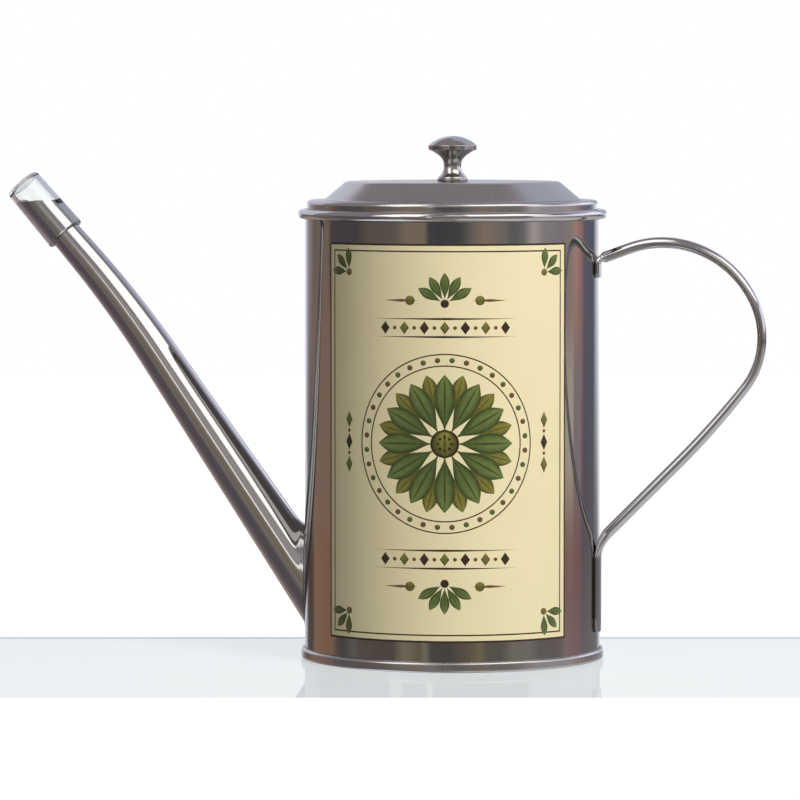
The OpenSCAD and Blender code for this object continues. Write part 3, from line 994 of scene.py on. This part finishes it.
def ink():
    made, tree, shader, place = material("print_ink")
    tone = put(tree, "ShaderNodeAttribute", attribute_name="tone").outputs["Fac"]
    across, along_mark, _ = split(tree, put(tree, "ShaderNodeUVMap", uv_map="print").outputs[0])
    dark, light = (ramp(tree, tone, [(i / 4, srgb(*c)) for i, c in enumerate(row)], "CONSTANT")
                   for row in (DARK_INKS, LIGHT_INKS))
    side = maths(tree, "ABSOLUTE", across)
    rim = maths(tree, "POWER", side, 3.0)
    rib = spread(tree, side, 0.03, 0.12, 0.75, 0.0)
    grain = put(tree, "ShaderNodeTexNoise", {"Vector": place, "Scale": 700.0, "Detail": 4.0})
    fade = maths(tree, "MULTIPLY_ADD", along_mark, 0.55, 0.15)
    fade = maths(tree, "MULTIPLY_ADD", grain.outputs[0], 0.5, maths(tree, "SUBTRACT", fade, 0.25))
    fade = maths(tree, "SUBTRACT", fade, maths(tree, "MAXIMUM", rim, rib))
    fade = put(tree, "ShaderNodeClamp", {0: fade}).outputs[0]
    tree.links.new(blend(tree, fade, dark, light), shader.inputs["Base Color"])
    emboss(tree, shader, grain.outputs[0], 0.1, 0.05)
    shader.inputs["Roughness"].default_value = 0.34
    return made


print_ink = ink()
values = {"Body radius": PANEL_R * mm, "Turn": PANEL_TURN, "Ink": print_ink,
          "Middle height": (PANEL_Z + PANEL_H / 2) * mm}
values.update({f"Motif {i}": shape for i, shape in enumerate(motifs)})
for shape in motifs:
    bpy.context.scene.collection.objects.link(shape)
layout_points = bpy.data.objects.new("print_layout", marks_mesh(marks))
print_mesh = evaluated("printed_ornament", layout_points, print_tree(len(motifs)), values)
for shape in motifs:
    bpy.data.objects.remove(shape)
ornament = finished("printed_ornament", print_mesh)
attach(ornament, "tin")

# %% [markdown]
# ## Welds
#
# A bead of braze, thickest above, runs round the spout's root, and a rippled weld runs down
# the back, where the sheet's ends meet. The bead follows the root's ring. The seam follows the
# body, so Geometry Nodes make it: a grid is bent round the body and raised into a low ridge.

# %% Braze bead
BEAD_R = 0.75
braze_finish = steel("braze_dull", 0.36, (900, 900, 900), bump=0.25, patch=0.12,
                     tint=(0.34, 0.32, 0.31))


def bead_rings(line, radius, sides=10):
    """Rings of a bead that lies on the body along a closed line of points."""
    rings = []
    for i, point in enumerate(line):
        here = Vector(point)
        ahead = (Vector(line[(i + 1) % len(line)]) - Vector(line[i - 1])).normalized()
        outward = Vector((here.x, here.y, 0)).normalized()
        across = ahead.cross(outward).normalized()
        size = radius * (1 + 0.12 * sin(i * 2.4) + 0.08 * sin(i * 5.1))
        size *= 1 + 1.3 * max(cos(2 * pi * i / len(line)), 0) ** 6
        angles = [2 * pi * k / sides for k in range(sides)]
        rings.append([tuple(here + (outward * cos(a) + across * sin(a)) * size) for a in angles])
    return rings


braze = skin("spout_braze", bead_rings(spout_rings(0, True)[0], BEAD_R))
braze.data.materials.append(braze_finish)
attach(braze, "tin")

# %% Welded seam
SEAM_W, SEAM_T = 2.4, 0.15
SEAM_LOW, SEAM_HIGH = 4.4, 137.1
RIPPLE = 0.9


def seam_tree():
    """Geometry Nodes: a grid bent round the body and raised into a rippled ridge."""
    inputs = [("Source", "Geometry"), ("Metal", "Material")]
    inputs += [(label, "Float") for label in ("Body radius", "Width", "Rise", "Length",
                                              "Middle height", "Ripple")]
    tree, given = new_tree("rippled_seam", inputs, "Seam")
    grid = put(tree, "GeometryNodeMeshGrid", {"Size X": given["Width"], "Size Y": given["Length"],
                                              "Vertices X": 9, "Vertices Y": 900}).outputs[0]
    x, y, _ = split(tree, put(tree, "GeometryNodeInputPosition").outputs[0])
    side = maths(tree, "DIVIDE", x, maths(tree, "MULTIPLY", given["Width"], 0.5))
    dome = maths(tree, "SUBTRACT", 1.0, maths(tree, "MULTIPLY", side, side))
    bowed = maths(tree, "MULTIPLY_ADD", dome, 0.0006, y)
    wave = maths(tree, "SINE", maths(tree, "MULTIPLY", bowed, given["Ripple"]))
    crest = maths(tree, "MULTIPLY", dome, maths(tree, "MULTIPLY_ADD", wave, 0.16, 0.84))
    lift = maths(tree, "MULTIPLY_ADD", crest, given["Rise"], -0.00002)
    radius = maths(tree, "ADD", given["Body radius"], lift)
    angle = maths(tree, "SUBTRACT", pi / 2, maths(tree, "DIVIDE", x, given["Body radius"]))
    height = maths(tree, "ADD", y, given["Middle height"])
    return end_tree(tree, set_round(tree, grid, radius, angle, height), given["Metal"])


seam_source = bpy.data.objects.new("seam_source", bpy.data.meshes.new("seam_source"))
seam = finished("welded_seam", evaluated("welded_seam", seam_source, seam_tree(), {
    "Body radius": BODY_R * mm, "Width": SEAM_W * mm, "Rise": SEAM_T * mm, "Metal": braze_finish,
    "Length": (SEAM_HIGH - SEAM_LOW) * mm, "Middle height": (SEAM_HIGH + SEAM_LOW) / 2 * mm,
    "Ripple": 2 * pi / (RIPPLE * mm)}))
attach(seam, "tin")

# %% [markdown]
# ## Table
#
# The can stands on a pale glass table, in front of white. The table's far and near edges are
# seen as faint lines. About half of what the camera sees of it is plain light of its own, so
# that it stays pale, and the rest is a real glossy surface, which keeps the can's shadow and a
# faint image of it. The gloss is perfectly sharp, which the room below uses to tell its rays
# apart. Neither steel nor the clear cap sees the table, as it would veil them.

# %% Table
TABLE_FAR, TABLE_NEAR = 57 * mm, -111 * mm


def make_table():
    mesh = bpy.data.meshes.new("table_top")
    work = bmesh.new()
    bmesh.ops.create_circle(work, cap_ends=True, radius=1.6, segments=96)
    work.to_mesh(mesh)
    work.free()
    table = in_scene("table_top", mesh)
    made, tree, shader, place = material("pale_table")
    depth = put(tree, "ShaderNodeVectorMath", {0: place, 1: tuple(away)},
                operation="DOT_PRODUCT").outputs["Value"]
    band = window(tree, depth, TABLE_NEAR, TABLE_FAR, 0.4 * mm)
    edge = window(tree, depth, TABLE_FAR - 6 * mm, TABLE_FAR, 0.6 * mm)
    glass = blend(tree, edge, srgb(243, 249, 251), srgb(190, 206, 226))
    tree.links.new(blend(tree, band, (1, 1, 1), glass), shader.inputs["Base Color"])
    shader.inputs["Roughness"].default_value = 0.0
    rays = put(tree, "ShaderNodeLightPath")
    glow = put(tree, "ShaderNodeEmission", {"Strength": 1.0})
    tree.links.new(blend(tree, band, (1.1, 1.1, 1.1), glass), glow.inputs["Color"])
    seen = maths(tree, "MULTIPLY_ADD", band, -0.45, 1.0)
    seen = maths(tree, "MULTIPLY", rays.outputs["Is Camera Ray"], seen)
    mixed = put(tree, "ShaderNodeMixShader", {0: seen, 1: shader.outputs[0], 2: glow.outputs[0]})
    tree.links.new(mixed.outputs[0], tree.nodes["Material Output"].inputs[0])
    mesh.materials.append(made)
    table.visible_glossy = False
    table.visible_transmission = False
    return table


def window(tree, value, low, high, soft):
    """1 where value lies between low and high, with soft edges."""
    rise = spread(tree, value, low - soft, low + soft, interpolation_type="SMOOTHSTEP")
    fall = spread(tree, value, high + soft, high - soft, interpolation_type="SMOOTHSTEP")
    return maths(tree, "MULTIPLY", rise, fall)


table = make_table()

# %% [markdown]
# ## Room
#
# Steel shows its room, so the room is most of its colour. The world holds it by direction: a
# row of bands round the horizon, which the upright body mirrors, and patches above and below
# them, which the rolled rim, the lid, the spout and the rod mirror. Tones are written as the
# steel should show them. Camera rays, clear pieces and the table's sharp gloss get plain white
# instead, but not rays that steel has already turned, or the cap would wash out. Where steel
# mirrors steel, the room is dimmer.

# %% Room tones
def mirrored(r, g, b):
    """What the room must be for steel to show this picture colour."""
    return tuple(v / s for v, s in zip(srgb(r, g, b), STEEL))


# Azimuth in degrees, 0 towards the camera and positive to the right, and picture colour
HORIZON = [
    (-180, 212, 212, 220), (-164, 200, 200, 207), (-154, 134, 130, 136), (-138, 98, 86, 80),
    (-114, 108, 92, 80), (-109, 62, 60, 64), (-80, 64, 60, 62), (-70, 84, 75, 68),
    (-46, 88, 80, 75), (-36, 113, 100, 86), (-22, 110, 98, 84), (-19, 58, 58, 62), (6, 63, 63, 66),
    (15, 100, 94, 88), (24, 123, 106, 92), (40, 104, 101, 99), (47, 82, 84, 86), (56, 100, 97, 100),
    (65, 156, 148, 146), (74, 124, 119, 120), (92, 118, 112, 117), (103, 125, 114, 110),
    (111, 152, 120, 110), (119, 132, 102, 98), (124, 88, 84, 96), (142, 74, 81, 95),
    (148, 165, 165, 170), (160, 225, 225, 228), (180, 240, 240, 245),
]
# Light from windows, a little brighter than a picture can show
WINDOW = (262.8, 258.7, 255.5)
# Elevation from and to, azimuth from and to, softness of the edges, all in degrees, and colour
PATCHES = [
    (-5, -2.4, -142, -101, 0.5, (114, 93, 82)),
    (-4.7, -2.9, 92, 108, 0.5, (152, 142, 131)),
    (-4.7, -2.9, 109, 119, 0.5, (115, 108, 112)),
    (3, 120, -400, 400, 3, (116, 110, 114)),
    (3, 36, -400, -128, 4, (172, 173, 182)),
    (3, 55, 118, 400, 5, (148, 150, 163)),
    (5, 26, 104, 152, 4, (222, 222, 238)),
    (2, 22, 62, 112, 3, (215, 214, 222)),
    (8, 26, -14, 13, 3, (138, 133, 130)),
    (36, 52, -6, 18, 3, (215, 212, 208)),
    (26, 64, 12, 86, 2, WINDOW),
    (15, 66, -64, -25, 4, WINDOW),
    (1, 15, -20, -16, 1, (250, 244, 232)),
    (6, 20, -50, -40, 2, (245, 245, 245)),
    (-120, -8, -400, 400, 4, (116, 111, 108)),
    (-120, -10, 60, 400, 6, (158, 154, 155)),
    (-64, -12, -62, -22, 4, (96, 90, 89)),
    (-120, -10, -400, -58, 5, (78, 72, 77)),
    (-60, -12, -400, -102, 5, (96, 86, 89)),
    (-60, -12, -400, -130, 5, (136, 120, 116)),
    (-90, -50, -165, -50, 4, (205, 207, 216)),
    (-70, -34, 4, 150, 5, (176, 174, 178)),
]
# The same as HORIZON, for what the body mirrors near its foot
LOW = [
    (-180, 205, 205, 212), (-163, 180, 180, 187), (-153, 62, 50, 44), (-141, 62, 47, 38),
    (-136, 122, 88, 66), (-108, 114, 82, 63), (-101, 56, 46, 42), (-95, 42, 40, 42),
    (-83, 76, 76, 72), (-78, 68, 56, 44), (-48, 54, 46, 42), (-39, 104, 96, 78), (-31, 96, 88, 70),
    (-26, 78, 70, 48), (-22, 108, 104, 90), (-17, 46, 42, 38), (-3, 46, 42, 40), (6, 71, 59, 52),
    (15, 86, 74, 56), (20, 103, 90, 64), (27, 74, 69, 61), (38, 72, 68, 62), (48, 106, 101, 91),
    (60, 99, 95, 89), (70, 64, 60, 60), (91, 70, 56, 58), (97, 112, 84, 80), (117, 106, 72, 73),
    (123, 78, 72, 77), (153, 86, 87, 92), (160, 160, 160, 164), (180, 235, 235, 240),
]


# How much of the room's light falls on what isn't steel
DIFFUSE_SHARE = 0.1
# How much of it is left where steel mirrors steel
TWICE_SHARE = 0.5


# %% Room
def make_world():
    world = bpy.data.worlds.new("room")
    bpy.context.scene.world = world
    world.use_nodes = True
    tree = world.node_tree
    direction = put(tree, "ShaderNodeTexCoord").outputs["Generated"]
    toward = put(tree, "ShaderNodeVectorMath", {0: direction, 1: tuple(-away)},
                 operation="DOT_PRODUCT").outputs["Value"]
    right = put(tree, "ShaderNodeVectorMath", {0: direction, 1: tuple(to_right)},
                operation="DOT_PRODUCT").outputs["Value"]
    height = split(tree, direction)[2]
    turn = maths(tree, "ARCTAN2", right, toward)
    place = maths(tree, "MULTIPLY_ADD", turn, 1 / (2 * pi), 0.5)
    rise = maths(tree, "MULTIPLY", maths(tree, "ARCSINE", height), 180 / pi)
    around = maths(tree, "MULTIPLY", turn, 180 / pi)
    bands = [ramp(tree, place, [(0.5 + turned / 360, mirrored(*tone)) for turned, *tone in row])
             for row in (HORIZON, LOW)]
    colour = blend(tree, spread(tree, rise, -2.0, -5.4), *bands)
    for low, high, left, right_edge, soft, tone in PATCHES:
        mask = window(tree, rise, low, high, soft)
        mask = maths(tree, "MULTIPLY", mask, window(tree, around, left, right_edge, soft))
        colour = blend(tree, mask, colour, mirrored(*tone))
    rays = put(tree, "ShaderNodeLightPath")
    straight = maths(tree, "LESS_THAN", rays.outputs["Glossy Depth"], 0.5)
    clear = maths(tree, "MULTIPLY", rays.outputs["Is Transmission Ray"], straight)
    clear = maths(tree, "MAXIMUM", clear, rays.outputs["Is Camera Ray"])
    table_gloss = maths(tree, "SUBTRACT", rays.outputs["Is Singular Ray"],
                        rays.outputs["Is Transmission Ray"])
    clear = maths(tree, "MAXIMUM", clear, table_gloss)
    dim = maths(tree, "MULTIPLY_ADD", rays.outputs["Is Diffuse Ray"], DIFFUSE_SHARE - 1, 1.0)
    twice = maths(tree, "GREATER_THAN", rays.outputs["Glossy Depth"], 1.5)
    dim = maths(tree, "MULTIPLY", dim, maths(tree, "MULTIPLY_ADD", twice, TWICE_SHARE - 1, 1.0))
    colour = put(tree, "ShaderNodeVectorMath", {0: colour, 3: dim}, operation="SCALE").outputs[0]
    colour = blend(tree, clear, colour, (1, 1, 1))
    background = tree.nodes["Background"]
    tree.links.new(colour, background.inputs["Color"])
    background.inputs["Strength"].default_value = 1.0
    return world


world = make_world()
print("room of", len(HORIZON), "and", len(LOW), "bands and", len(PATCHES), "patches")

# %% [markdown]
# ## Lamps
#
# Lamps light what isn't steel: the cream panel and the table. The panel is bright on the right
# and falls off to the left, so the main lamp stands 36 degrees to the right of the camera.

# %% Lamps
def make_lamp(name, place, size, power, colour=(1, 1, 1)):
    """A soft square lamp that looks at the can's middle; steel doesn't mirror it."""
    data = bpy.data.lights.new(name, "AREA")
    data.size, data.energy, data.color = size, power, colour
    lamp = in_scene(name, data)
    middle = Vector((0, 0, 0.08))
    lamp.location = middle + place
    lamp.rotation_euler = (-place).to_track_quat("-Z", "Y").to_euler()
    lamp.visible_glossy = False
    lamp.visible_transmission = False
    return lamp


make_lamp("main", -away * 1.1 + to_right * 0.8 + up * 0.6, 0.5, 19, (1.0, 0.99, 0.98))
make_lamp("fill", -away * 1.3 - to_right * 0.9 + up * 0.8, 1.0, 0.15)

# %% Finish
bpy.context.scene.view_settings.view_transform = "Standard"
